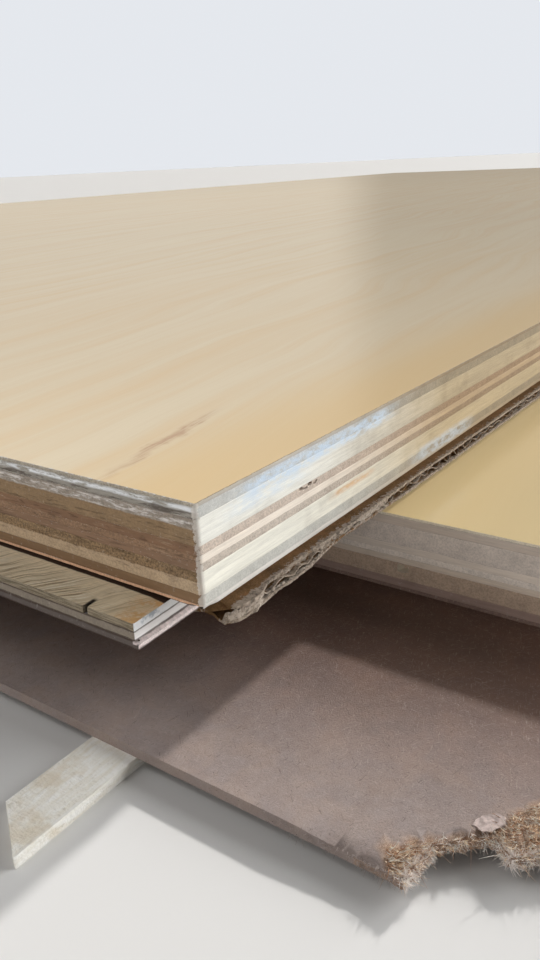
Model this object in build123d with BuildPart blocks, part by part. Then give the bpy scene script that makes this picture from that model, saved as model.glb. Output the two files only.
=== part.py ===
from build123d import *
import os
from math import cos, radians, sin, sqrt

# A stack of plywood sheets, as it lies in a timber store, in millimetres.
# From the top down: a thick prefinished sheet, a thin sheet, a sheet of corrugated board,
# a second thick sheet, a hardboard with a broken corner, and thin wooden spacer strips.
# X runs along the sheets, Y across them and Z up. Places are first given from the near
# corner of the top sheet. The model's origin is the middle of the stack on the floor.

# Plywood sheets
sheet_length = 2440
sheet_width = 1220
corner_wear = 0.9
arris_wear = 0.35

# Veneers of a thick sheet, from its face down
face_veneer = 0.6
upper_crossband = 1.9
upper_core = 4.3
upper_inner = 1.4
centre_core = 1.3
lower_inner = 1.8
lower_core = 4.0
lower_crossband = 1.8
back_veneer = 0.9

# Veneers of the thin sheet
thin_face = 1.4
thin_middle = 1.7
thin_back = 1.4
thin_back_stands_out = 0.6

# Corrugated board
liner_paper = 0.3
fluting_paper = 0.3
flute_height = 2.4
flute_pitch = 6.0
flute_slope = 50
glue_gap = 0.02
open_flutes = 40
card_length = sheet_length - 10
card_width = sheet_width - 5

# Hardboard
board_length = sheet_length
board_width = sheet_width
board_thickness = 2.0
torn_ledge = 3.2
torn_depth = 0.7

# Spacer strips
strip_length = sheet_length
strip_width = 10.6
strip_thickness = 2.2
strip_count = 3
strip_pitch = 508
strip_end_skew = 7

# How far each layer lies from the top sheet's near corner, along and across
thin_along = -7.5
thin_across = 7.9
card_along = 8.5
card_across = 2.4
second_along = 63.5
second_across = -64
board_along = -7.4
board_across = -86
strip_along = -33
strip_across = 11
thin_sag = 0.8

# Small damage: a chipped back veneer, gaps in one veneer, a check and a knot
chip_along = 3.4
chip_across = 4.2
gap_first = 28.5
gap_length = 1.7
gap_height = 0.7
gap_depth = 3
gap_pitch = 2.4
gap_count = 3
check_across = 18.6
check_width = 1.0
check_depth = 2.2
knot_from_corner = 61.5
knot_from_top = 1.3
knot_radius = 0.9
knot_depth = 2

thick_layers = {
    "face_veneer": face_veneer,
    "upper_crossband": upper_crossband,
    "upper_core": upper_core,
    "upper_inner": upper_inner,
    "centre_core": centre_core,
    "lower_inner": lower_inner,
    "lower_core": lower_core,
    "lower_crossband": lower_crossband,
    "back_veneer": back_veneer,
}
thick_sheet = sum(thick_layers.values())

# Heights, from the floor up
board_bottom = strip_thickness
second_bottom = board_bottom + board_thickness
second_top = second_bottom + thick_sheet
thin_bottom = second_top + liner_paper + flute_height + liner_paper
top_bottom = thin_bottom + thin_back + thin_middle + thin_face
stack_top = top_bottom + thick_sheet

# The box round all layers sets where the top sheet's near corner lies in the model
low_along = min(0, thin_along, card_along, second_along, board_along, strip_along)
high_along = max(
    sheet_length + max(0, thin_along, second_along),
    card_along + card_length,
    board_along + board_length,
    strip_along + strip_length,
)
low_across = min(0, thin_across - thin_back_stands_out, card_across, second_across, board_across)
high_across = max(
    sheet_width + max(0, thin_across, second_across),
    card_across + card_width,
    board_across + board_width,
)
corner_x = -(low_along + high_along) / 2
corner_y = -(low_across + high_across) / 2

# The loose layers bend down in front of the second sheet, round one long radius
thin_reach = second_along - thin_along
sag_radius = (thin_reach ** 2 + thin_sag ** 2) / (2 * thin_sag)


def sagged(x, height):
    """Z of a point of the loose layers, at a height above the second sheet's face."""
    reach = max(0, corner_x + second_along - x)
    return second_top - sag_radius + sqrt((sag_radius + height) ** 2 - reach ** 2)


def loose_layer(near_x, far_x, right_y, width, height, thickness):
    """A layer that lies flat on the second sheet and sags where it hangs over."""
    rest_x = corner_x + second_along
    middle_x = (near_x + rest_x) / 2
    side = Plane(origin=(0, right_y, 0), x_dir=(1, 0, 0), z_dir=(0, -1, 0))
    with BuildPart() as layer:
        with BuildSketch(side):
            with BuildLine():
                under = [(x, sagged(x, height)) for x in (near_x, middle_x, rest_x)]
                over = [(x, sagged(x, height + thickness)) for x in (near_x, middle_x, rest_x)]
                ThreePointArc(*under)
                Polyline(
                    under[2],
                    (far_x, second_top + height),
                    (far_x, second_top + height + thickness),
                    over[2],
                )
                ThreePointArc(*reversed(over))
                Line(over[0], under[0])
            make_face()
        extrude(amount=-width)
    return layer


os.makedirs("parts", exist_ok=True)

# Top sheet: its veneers share one outline, with the near corner rubbed round
layer_top = stack_top
for layer_name, thickness in thick_layers.items():
    layer_top -= thickness
    with BuildPart() as top_layer:
        with BuildSketch(Plane((corner_x, corner_y, layer_top))):
            Rectangle(sheet_length, sheet_width, align=(Align.MIN, Align.MIN))
        extrude(amount=thickness)
        near_corner = top_layer.edges().filter_by(Axis.Z).sort_by(Axis.X)[:2].sort_by(Axis.Y)[0]
        fillet(near_corner, radius=corner_wear)
        if layer_name == "face_veneer":
            # The long arrises of the face are rubbed off
            chamfer(top_layer.faces().sort_by(Axis.Z)[-1].edges(), length=arris_wear)
        if layer_name == "back_veneer":
            # The corner of the back veneer is chipped off
            with BuildSketch(Plane((corner_x, corner_y, layer_top))):
                with BuildLine():
                    Polyline(
                        (-chip_along, -chip_across),
                        (chip_along, -chip_across),
                        (chip_along, 0),
                        (chip_along * 0.5, chip_across * 0.4),
                        (0, chip_across),
                        (-chip_along, chip_across),
                        close=True,
                    )
                make_face()
            extrude(amount=thickness, mode=Mode.SUBTRACT)
        if layer_name == "upper_inner":
            # Open gaps between the strips of this veneer
            middle_z = layer_top + thickness / 2
            gap_middle = corner_x + gap_first + gap_pitch * (gap_count - 1) / 2
            with BuildSketch(Plane(origin=(gap_middle, corner_y, middle_z), z_dir=(0, -1, 0))):
                with GridLocations(gap_pitch, 1, gap_count, 1):
                    SlotOverall(gap_length, gap_height)
            extrude(amount=-gap_depth, mode=Mode.SUBTRACT)
    node = "top_" + layer_name
    top_layer.part.label = node
    export_step(top_layer.part, f"parts/{node}.step")

# Thin sheet: three veneers, the lowest standing out a little at the side
thin_near = corner_x + thin_along
thin_far = thin_near + sheet_length
thin_right = corner_y + thin_across
thin_height = thin_bottom - second_top

thin_back_layer = loose_layer(
    thin_near,
    thin_far,
    thin_right - thin_back_stands_out,
    sheet_width,
    thin_height,
    thin_back,
)
thin_back_layer.part.label = "thin_back_veneer"
export_step(thin_back_layer.part, "parts/thin_back_veneer.step")

thin_middle_layer = loose_layer(
    thin_near,
    thin_far,
    thin_right,
    sheet_width,
    thin_height + thin_back,
    thin_middle,
)
thin_middle_layer.part.label = "thin_middle_veneer"
export_step(thin_middle_layer.part, "parts/thin_middle_veneer.step")

# The face veneer has a check torn into its near edge
with BuildPart() as thin_face_layer:
    add(
        loose_layer(
            thin_near,
            thin_far,
            thin_right,
            sheet_width,
            thin_height + thin_back + thin_middle,
            thin_face,
        ).part
    )
    with BuildSketch(Plane((thin_near, corner_y + check_across, thin_bottom))):
        with BuildLine():
            Polyline(
                (0, -check_width),
                (check_depth, 0),
                (0, check_width * 0.5),
                (-check_width, check_width * 0.5),
                (-check_width, -check_width),
                close=True,
            )
        make_face()
    extrude(amount=thick_sheet, mode=Mode.SUBTRACT)
thin_face_layer.part.label = "thin_face_veneer"
export_step(thin_face_layer.part, "parts/thin_face_veneer.step")

# Corrugated board: two liners. The near corner of each is torn away along its own line,
# whose points are measured from the board's full corner.
card_near = corner_x + card_along
card_far = card_near + card_length
card_right = corner_y + card_across
upper_tear = [(0, 5.2), (0.9, 3.9), (0.5, 2.7), (1.7, 1.9), (2.1, 0.8), (3.4, 0)]
lower_tear = [(0, 8.1), (0.6, 6.4), (1.9, 5.1), (1.5, 3.3), (3.2, 2.2), (4.9, 0)]
liners = (
    ("card_lower_liner", 0, lower_tear),
    ("card_upper_liner", liner_paper + flute_height, upper_tear),
)
for node, height, tear in liners:
    with BuildPart() as liner:
        add(loose_layer(card_near, card_far, card_right, card_width, height, liner_paper).part)
        with BuildSketch(Plane((card_near, card_right, second_bottom))):
            with BuildLine():
                Polyline(
                    *tear,
                    (tear[-1][0], -card_across),
                    (-card_across, -card_across),
                    (-card_across, tear[0][1]),
                    close=True,
                )
            make_face()
        extrude(amount=stack_top, mode=Mode.SUBTRACT)
    liner.part.label = node
    export_step(liner.part, f"parts/{node}.step")

# Its fluting: one paper bent into rounded waves, open at the board's long edges. Each bend
# is an arc, with the straight slopes touching it. The waves near the corner are bent one
# by one, and a plain core is the rest.
slope_sine = sin(radians(flute_slope))
slope_cosine = cos(radians(flute_slope))
wave_rise = flute_height - 2 * glue_gap - fluting_paper
slope_run = flute_pitch / 2 * slope_sine - wave_rise * slope_cosine
bend_radius = slope_run / (2 * (1 - slope_cosine))


def wave_bend(index, offset):
    """Start, middle and end of a bend, at an offset above the middle of the paper."""
    upwards = 1 if index % 2 else -1
    middle_x = card_near + index * flute_pitch / 2 + bend_radius * slope_sine
    middle_height = liner_paper + flute_height / 2 + upwards * (wave_rise / 2 - bend_radius)
    radius = bend_radius + upwards * offset
    points = []
    for across, up in ((-slope_sine, slope_cosine), (0, 1), (slope_sine, slope_cosine)):
        x = middle_x + radius * across
        points.append((x, sagged(x, middle_height + upwards * radius * up)))
    return points


under_bends = [wave_bend(index, -fluting_paper / 2) for index in range(2 * open_flutes)]
upper_bends = [wave_bend(index, fluting_paper / 2) for index in range(2 * open_flutes)]
with BuildPart() as fluting:
    with BuildSketch(Plane(origin=(0, card_right, 0), x_dir=(1, 0, 0), z_dir=(0, -1, 0))):
        with BuildLine():
            for bends in (under_bends, upper_bends):
                for bend_points in bends:
                    ThreePointArc(*bend_points)
                for before, after in zip(bends, bends[1:]):
                    Line(before[2], after[0])
            Line(under_bends[0][0], upper_bends[0][0])
            Line(under_bends[-1][2], upper_bends[-1][2])
        make_face()
    extrude(amount=-card_width)
fluting.part.label = "card_fluting"
export_step(fluting.part, "parts/card_fluting.step")

core_near = card_near + (open_flutes + 0.5) * flute_pitch
with BuildPart() as plain_core:
    with BuildSketch(Plane((core_near, card_right, second_top + liner_paper))):
        Rectangle(card_far - core_near, card_width, align=(Align.MIN, Align.MIN))
    extrude(amount=flute_height)
plain_core.part.label = "card_plain_core"
export_step(plain_core.part, "parts/card_plain_core.step")

# Second sheet: the same build, set back and over to one side
layer_top = second_top
for layer_name, thickness in thick_layers.items():
    layer_top -= thickness
    with BuildPart() as second_layer:
        with BuildSketch(Plane((corner_x + second_along, corner_y + second_across, layer_top))):
            Rectangle(sheet_length, sheet_width, align=(Align.MIN, Align.MIN))
        extrude(amount=thickness)
        if layer_name == "lower_core":
            # A small knot hole on the near edge
            knot_y = corner_y + second_across + knot_from_corner
            knot_z = layer_top + thickness - knot_from_top
            with Locations(Plane((corner_x + second_along, knot_y, knot_z), z_dir=(-1, 0, 0))):
                Hole(knot_radius, depth=knot_depth)
    node = "second_" + layer_name
    second_layer.part.label = node
    export_step(second_layer.part, f"parts/{node}.step")

# Hardboard: a plain sheet with its near right corner broken away along a ragged line.
# The break's points are measured from the sheet's full corner.
break_line = [
    (0, 47.6),
    (2.3, 47.5),
    (4.4, 47.3),
    (7.2, 46.8),
    (9, 45.7),
    (10.3, 44),
    (12, 42.4),
    (12.9, 41.3),
    (13.2, 39.5),
    (12.3, 38.2),
    (11.2, 36.8),
    (12.5, 35.4),
    (14.3, 33.9),
    (18, 28),
    (17.2, 21),
    (22, 14),
    (24, 7),
    (30, 0),
]
board_corner = (corner_x + board_along, corner_y + board_across, board_bottom)
with BuildPart() as hardboard:
    with BuildSketch(Plane(board_corner)):
        with BuildLine():
            Polyline(
                *break_line,
                (board_length, 0),
                (board_length, board_width),
                (0, board_width),
                close=True,
            )
        make_face()
    extrude(amount=board_thickness)
    # Along the break the hard face is torn off, down to the fibres below it
    with BuildSketch(Plane(board_corner).offset(board_thickness)):
        with BuildLine():
            inner_line = [(x + torn_ledge, y) for x, y in reversed(break_line[1:])]
            outer_line = [(x - torn_ledge, y - torn_ledge) for x, y in break_line]
            Polyline(*outer_line, *inner_line, close=True)
        make_face()
    extrude(amount=-torn_depth, mode=Mode.SUBTRACT)
hardboard.part.label = "hardboard_sheet"
export_step(hardboard.part, "parts/hardboard_sheet.step")

# Spacer strips under the hardboard, with their near ends cut askew
with BuildPart() as strips:
    for row in range(strip_count):
        row_y = corner_y + strip_across + row * strip_pitch
        with BuildSketch(Plane((corner_x + strip_along, row_y, 0))):
            with BuildLine():
                Polyline(
                    (0, 0),
                    (strip_length, 0),
                    (strip_length, strip_width),
                    (strip_end_skew, strip_width),
                    close=True,
                )
            make_face()
        extrude(amount=strip_thickness)
strips.part.label = "spacer_strips"
export_step(strips.part, "parts/spacer_strips.step")
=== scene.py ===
import math
from functools import reduce

import bpy
import numpy as np
from mathutils import Matrix, Vector
from mathutils.geometry import delaunay_2d_cdt


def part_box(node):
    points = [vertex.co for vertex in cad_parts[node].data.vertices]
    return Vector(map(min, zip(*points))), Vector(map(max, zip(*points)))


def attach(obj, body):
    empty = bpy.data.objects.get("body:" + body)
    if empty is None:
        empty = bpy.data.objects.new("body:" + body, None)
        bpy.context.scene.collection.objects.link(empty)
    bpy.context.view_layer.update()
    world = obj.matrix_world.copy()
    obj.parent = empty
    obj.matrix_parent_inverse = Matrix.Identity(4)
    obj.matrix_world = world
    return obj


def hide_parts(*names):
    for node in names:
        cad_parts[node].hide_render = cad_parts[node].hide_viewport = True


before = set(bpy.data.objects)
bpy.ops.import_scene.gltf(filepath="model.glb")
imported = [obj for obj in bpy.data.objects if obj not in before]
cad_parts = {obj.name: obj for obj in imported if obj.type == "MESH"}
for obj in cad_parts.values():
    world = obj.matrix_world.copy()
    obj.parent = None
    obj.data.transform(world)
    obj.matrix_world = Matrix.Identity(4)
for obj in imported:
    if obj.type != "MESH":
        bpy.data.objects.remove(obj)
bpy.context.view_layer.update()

# A stack of plywood sheets. Lengths in this script are millimetres from the top sheet's
# near corner, with X along the sheets, Y across them and Z up from the top face.
MM = 0.001
BODY = "root"
corner = Vector((*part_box("top_face_veneer")[0][:2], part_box("top_face_veneer")[1].z))

# Camera, as solved from the edges of the top sheet in the photograph
CAMERA_PLACE = Vector((-84.3, -75.4, 46.4))
CAMERA_YAW = math.radians(36.09)
CAMERA_PITCH = math.radians(20.95)
CAMERA_ROLL = math.radians(2.69)
CAMERA_LENS = 31.0
CAMERA_SENSOR = 36.0
# The bright side of the room lies this far round from +Y towards -X
PANE_SIDE = math.radians(30)
# Half the floor's side, in metres
FLOOR_HALF = 40.0

# Sizes that the solids also have
SAG = 0.8
CORNER_WEAR = 0.9
FLUTE_PITCH = 6.0
PAPER = 0.3

# Distance between the first points of a sheet's outline, and how fast it grows further on
FINE_STEPS = (0.28, 0.006)
LINER_STEPS = (0.35, 0.006)
SECOND_STEPS = (0.40, 0.008)
STRIP_STEPS = (0.5, 0.03)
RANDOM_SEED = 11


def near_box(node):
    """A node's lowest and highest corner in millimetres from the near corner."""
    low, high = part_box(node)
    return np.array((low - corner) / MM), np.array((high - corner) / MM)


# Noise made from hashed lattice points, the same in each run

def lattice(ix, iy, iz, seed):
    """A steady random number from 0 to 1 for each whole-numbered point."""
    mixed = (
        ix.astype(np.uint32) * np.uint32(374761393)
        + iy.astype(np.uint32) * np.uint32(668265263)
        + iz.astype(np.uint32) * np.uint32(3266489917)
        + np.uint32((seed * 97 + 13) * 2654435761 % 2**32)
    )
    mixed = (mixed ^ (mixed >> np.uint32(13))) * np.uint32(1274126177)
    mixed = mixed ^ (mixed >> np.uint32(16))
    return mixed.astype(float) / 2.0**32


def smooth_noise(x, y, z, seed=0):
    """Value noise from -1 to 1 with features one unit wide."""
    base = [np.floor(v).astype(np.int64) for v in (x, y, z)]
    part = [v - b for v, b in zip((x, y, z), base)]
    ease = [p * p * (3 - 2 * p) for p in part]
    total = np.zeros(np.broadcast(x, y, z).shape)
    for i in (0, 1):
        for j in (0, 1):
            for k in (0, 1):
                share = (
                    (ease[0] if i else 1 - ease[0])
                    * (ease[1] if j else 1 - ease[1])
                    * (ease[2] if k else 1 - ease[2])
                )
                total = total + share * lattice(base[0] + i, base[1] + j, base[2] + k, seed)
    return total * 2 - 1


def rough_noise(x, y, z, octaves=3, seed=0):
    """Noise with finer and fainter noise on top of it, about -1 to 1."""
    total = np.zeros(np.broadcast(x, y, z).shape)
    for octave in range(octaves):
        grow = 2.0**octave
        total = total + smooth_noise(x * grow, y * grow, z * grow, seed + octave) / grow
    return total / (2 - 0.5 ** (octaves - 1))


def noise_along(x, octaves, seed, row=0):
    """The same noise along one axis. Each row has its own."""
    return rough_noise(x, x * 0 + row, x * 0, octaves, seed)


def noise_over(points, share, octaves, seed):
    """The same noise over a level face, drawn out by a share."""
    x, y = points[:, 0] * share, points[:, 1] * share
    return rough_noise(x, y, x * 0, octaves, seed)


def ramp_up(value, low, high):
    """0 below low, 1 above high and smooth between."""
    part = np.clip((value - low) / (high - low), 0, 1)
    return part * part * (3 - 2 * part)


# Meshes

def new_object(name, data):
    """An object linked into the scene."""
    made = bpy.data.objects.new(name, data)
    bpy.context.scene.collection.objects.link(made)
    return made


def make_piece(name, points, faces, material, sharp=40):
    """A new piece from points in millimetres, which rides on the stack."""
    mesh = bpy.data.meshes.new(name)
    mesh.from_pydata((np.asarray(points) * MM + np.array(corner)).tolist(), [], faces)
    mesh.validate()
    mesh.polygons.foreach_set("use_smooth", [True] * len(mesh.polygons))
    mesh.set_sharp_from_angle(angle=math.radians(sharp))
    mesh.materials.append(material)
    piece = new_object(name, mesh)
    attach(piece, BODY)
    return piece


def spaced(length, first, growth):
    """Distances from 0 to length, close together at first and wider further on."""
    steps = [0.0]
    while steps[-1] < length:
        steps.append(steps[-1] + first + growth * steps[-1])
    return np.array(steps) * (length / steps[-1])


def far_steps(length):
    """Even distances from 0 to length along a far side, without the 0."""
    far_step = 60.0
    return np.linspace(0, length, int(length / far_step) + 2)[1:]


def rectangle_ring(low, high, steps, wear=0.0):
    """Points round a sheet from its near corner, with their outward directions."""
    length, width = (high - low)[:2]
    ring = [(low[0] + s, low[1], 0, -1) for s in spaced(length, *steps)]
    ring += [(high[0], low[1] + s, 1, 0) for s in far_steps(width)]
    ring += [(high[0] - s, high[1], 0, 1) for s in far_steps(length)]
    ring += [(low[0], low[1] + s, -1, 0) for s in spaced(width, *steps)[-2:0:-1]]
    ring = np.array(ring, float)
    if wear > 0:
        # Points near the worn corner move onto an arc
        slip = wear * (1 - math.sqrt(0.5))
        for here, there in ((0, 1), (1, 0)):
            s = ring[:, here] - low[here]
            near = (s < wear) & (np.abs(ring[:, there] - low[there]) < 1e-9)
            moved = slip + s[near] * (1 - slip / wear)
            depth = wear - np.sqrt(np.maximum(wear**2 - (wear - moved) ** 2, 0))
            ring[near, here] = low[here] + moved
            ring[near, there] = low[there] + depth
            turn = (wear - moved) / wear
            ring[near, 2 + here] = -turn
            ring[near, 2 + there] = -np.sqrt(np.maximum(1 - turn**2, 0))
    return ring


def inside(spots, outline):
    """Which of the spots lie inside a closed outline."""
    odd = np.zeros(len(spots), bool)
    for (ax, ay), (bx, by) in zip(outline, np.roll(outline, -1, axis=0)):
        if ay != by:
            reaches = (ay > spots[:, 1]) != (by > spots[:, 1])
            odd ^= reaches & (spots[:, 0] < (bx - ax) * (spots[:, 1] - ay) / (by - ay) + ax)
    return odd


def cap(outline, inner):
    """Triangles that fill an outline, through any points inside it."""
    spots = np.vstack([outline, inner])
    count = len(outline)
    edges = [(i, (i + 1) % count) for i in range(count)]
    convex_hull, closest = 0, 1e-6
    vertices = [Vector(spot) for spot in spots.tolist()]
    filled = delaunay_2d_cdt(vertices, edges, [], convex_hull, closest, True)
    names = [origins[0] if origins else -1 for origins in filled[3]]
    faces = [[names[v] for v in face] for face in filled[2]]
    faces = np.array([face for face in faces if min(face) >= 0])
    return faces[inside(spots[faces].mean(axis=1), outline)].tolist()


def walls(start, count, levels):
    """Faces between rings of count points that follow one another."""
    faces = []
    for level in range(levels - 1):
        low = start + level * count
        high = low + count
        for i in range(count):
            j = (i + 1) % count
            faces.append((low + i, low + j, high + j, high + i))
    return faces


def plate(ring, levels, push, bend=None, inner=(), lift=None):
    """A closed plate: a ring of points at several heights, pushed outwards, and two caps."""
    count = len(ring)
    inner = np.array(inner, float).reshape(-1, 2)
    layers = []
    for z in levels:
        out = push(ring[:, 0], ring[:, 1], np.full(count, z))
        xy = ring[:, :2] + ring[:, 2:4] * out[:, None]
        layers.append(np.column_stack([xy, np.full(count, z)]))
    for z in (levels[0], levels[-1]):
        layers.append(np.column_stack([inner, np.full(len(inner), z)]))
    points = np.vstack(layers)
    faces = walls(0, count, len(levels))
    filled = cap(ring[:, :2], inner)
    inner_start = len(levels) * count
    for ring_start, spot_start, flip in (
        (0, inner_start, True),
        ((len(levels) - 1) * count, inner_start + len(inner), False),
    ):
        for face in filled:
            whole = [ring_start + v if v < count else spot_start + v - count for v in face]
            faces.append(tuple(reversed(whole)) if flip else tuple(whole))
    if lift is not None:
        points = lift(points)
    if bend is not None:
        points[:, 2] -= bend(points[:, 0])
    return points, faces


def sag(x):
    """How far the loose layers hang down in front of the second sheet."""
    rest = near_box("second_face_veneer")[0][0]
    near = near_box("thin_face_veneer")[0][0]
    return SAG * (np.maximum(0, rest - x) / (rest - near)) ** 2


def bending_grid(low, high):
    """Points inside a loose layer's faces, where it hangs down."""
    rest = near_box("second_face_veneer")[0][0]
    return [
        (x, y)
        for x in np.arange(low[0] + 6, rest + 8, 8.0)
        for y in np.arange(low[1] + 20, high[1] - 10, 60.0)
    ]


# Node materials

class Nodes:
    """Short names for the nodes of one tree."""

    def __init__(self, tree):
        self.tree = tree

    def put(self, socket, value):
        if isinstance(value, bpy.types.NodeSocket):
            self.tree.links.new(value, socket)
        elif isinstance(value, tuple) and len(value) == 3 and socket.type == "RGBA":
            socket.default_value = (*value, 1)
        else:
            socket.default_value = value

    def make(self, kind, inputs, **settings):
        """A new node's outputs. Each of its named or numbered inputs gets a value or a link."""
        made = self.tree.nodes.new("ShaderNode" + kind)
        for name, value in settings.items():
            setattr(made, name, value)
        for name, value in inputs.items():
            self.put(made.inputs[name], value)
        return made.outputs

    def vector(self, operation, a, b=None, scale=None):
        inputs = {0: a, 1: b, "Scale": scale}
        given = {name: value for name, value in inputs.items() if value is not None}
        outputs = self.make("VectorMath", given, operation=operation)
        return outputs["Value" if operation == "DOT_PRODUCT" else "Vector"]

    def math(self, operation, a, b=0.0):
        return self.make("Math", {0: a, 1: b}, operation=operation)[0]

    def times(self, *values):
        return reduce(lambda a, b: self.math("MULTIPLY", a, b), values)

    def plus(self, *values):
        return reduce(lambda a, b: self.math("ADD", a, b), values)

    def minus(self, a, b):
        return self.math("SUBTRACT", a, b)

    def blend(self, share, a, b):
        """A number that goes from a to b."""
        return self.plus(a, self.times(share, self.minus(b, a)))

    def axis(self, vector, letter):
        return self.make("SeparateXYZ", {0: vector})[letter]

    def combined(self, *parts):
        return self.make("CombineXYZ", dict(enumerate(parts)))[0]

    def rotated(self, vector, degrees):
        """A vector turned about Z."""
        inputs = {"Vector": vector, "Angle": math.radians(degrees)}
        return self.make("VectorRotate", inputs, rotation_type="Z_AXIS")[0]

    def noise(self, vector, size, detail=4.0, rough=0.6, twist=0.0):
        """Noise whose features are about size millimetres wide."""
        inputs = {
            "Vector": vector, "Scale": 1.0 / size, "Detail": detail,
            "Roughness": rough, "Distortion": twist,
        }
        return self.make("TexNoise", inputs)["Fac"]

    def span(self, value, low, high, to_low=0.0, to_high=1.0):
        """Value between low and high, eased and clamped, turned into a new range."""
        inputs = {
            "Value": value, "From Min": low, "From Max": high,
            "To Min": to_low, "To Max": to_high,
        }
        return self.make("MapRange", inputs, interpolation_type="SMOOTHSTEP")["Result"]

    def within(self, value, low, high, soft):
        """1 where value is between low and high, with soft ends."""
        return self.times(
            self.span(value, low - soft, low + soft), self.span(value, high + soft, high - soft)
        )

    def mix(self, share, a, b, blend="MIX"):
        return self.make("Mix", {0: share, 6: a, 7: b}, data_type="RGBA", blend_type=blend)[2]

    def tinted(self, colour, tint):
        return self.mix(1.0, colour, tint, "MULTIPLY")

    def laid(self, colour, tone, value, low, high, much=1.0):
        """A colour with a tone laid over it, the more so as value goes from low to high."""
        return self.mix(self.span(value, low, high, 0.0, much), colour, tone)


class Shading(Nodes):
    """The nodes of one material, and the place on it in millimetres."""

    def __init__(self, name):
        self.material = bpy.data.materials.new(name)
        self.material.use_nodes = True
        super().__init__(self.material.node_tree)
        self.shader = self.tree.nodes["Principled BSDF"]
        moved = self.vector("SUBTRACT", self.make("TexCoord", {})["Object"], tuple(corner))
        self.place = self.vector("SCALE", moved, scale=1 / MM)
        self.normal = self.make("NewGeometry", {})["Normal"]
        self.x, self.y, self.z = (self.axis(self.place, letter) for letter in "XYZ")

    def stretched(self, *shares):
        """The place, with each axis drawn out by its share."""
        return self.vector("MULTIPLY", self.place, shares)

    def facing(self, letter, low, high):
        """How far the surface faces along an axis, from 0 at low to 1 at high."""
        return self.span(self.axis(self.normal, letter), low, high)

    def dashes(self, turn, length, width, low, high):
        """Thin marks that all point the same way, 1 on a mark."""
        moved = self.vector("ADD", self.rotated(self.place, turn), (turn * 3.7, turn * 1.3, 0.0))
        thin = self.vector("MULTIPLY", moved, (width / length, 1.0, 1.0))
        return self.span(self.noise(thin, width, 1.0, 0.5, 0.6), low, high)

    def bump(self, height, depth):
        """Bump whose height of 1 stands for depth millimetres."""
        inputs = {"Strength": 1.0, "Distance": depth * MM, "Height": height}
        self.put(self.shader.inputs["Normal"], self.make("Bump", inputs)["Normal"])

    def finish(self, colour, roughness, **settings):
        """The material, with its colour, roughness and other settings of the shader."""
        self.put(self.shader.inputs["Base Color"], colour)
        self.put(self.shader.inputs["Roughness"], roughness)
        for name, value in settings.items():
            self.put(self.shader.inputs[name.replace("_", " ")], value)
        return self.material


def shade(colour, share):
    """A darker or lighter copy of a colour."""
    return tuple(min(1.0, c * share) for c in colour)


DUST = (0.70, 0.67, 0.62)
DIRT = (0.10, 0.075, 0.06)
BLUE_PAINT = (0.55, 0.67, 0.80)
GLUE = (0.13, 0.085, 0.06)
# Painted shade for the gaps between hanging layers
GAPE_SHADE = (0.06, 0.04, 0.03)


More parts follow.
